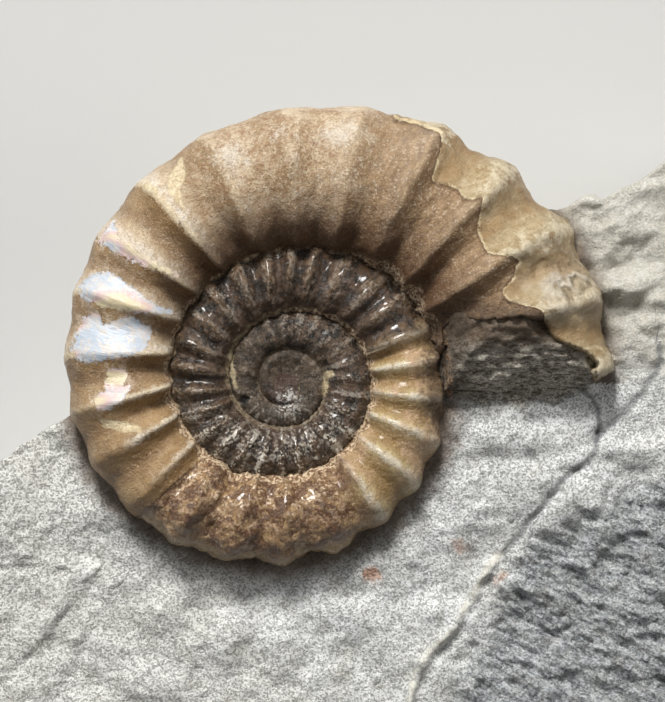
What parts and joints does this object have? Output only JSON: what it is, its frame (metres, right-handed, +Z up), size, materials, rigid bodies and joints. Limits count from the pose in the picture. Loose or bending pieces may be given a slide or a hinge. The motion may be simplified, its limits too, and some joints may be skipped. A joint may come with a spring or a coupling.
{
  "type": "promicroceras planicosta ammonite fossil",
  "caption": "Small ribbed ammonite, an open coiled fossil shell, half bedded in a broken block of grey limestone with a flat base.",
  "frame": {"origin": "middle of the object's box, on the flat base that it rests on", "axes": "+Z up through the coil's axis, +X to the picture's right along the block's length, +Y to the picture's top"},
  "size_m": [0.0486, 0.0364, 0.0188],
  "materials": {
    "honey_calcite": "honey-brown calcite shell, varnished satin to glossy, with patches of mother-of-pearl",
    "grey_limestone": "matt, broken, fine-grained grey limestone"
  },
  "bodies": {
    "root": {"ammonite_shell": "honey_calcite", "limestone_block": "grey_limestone"}
  },
  "joints": []
}
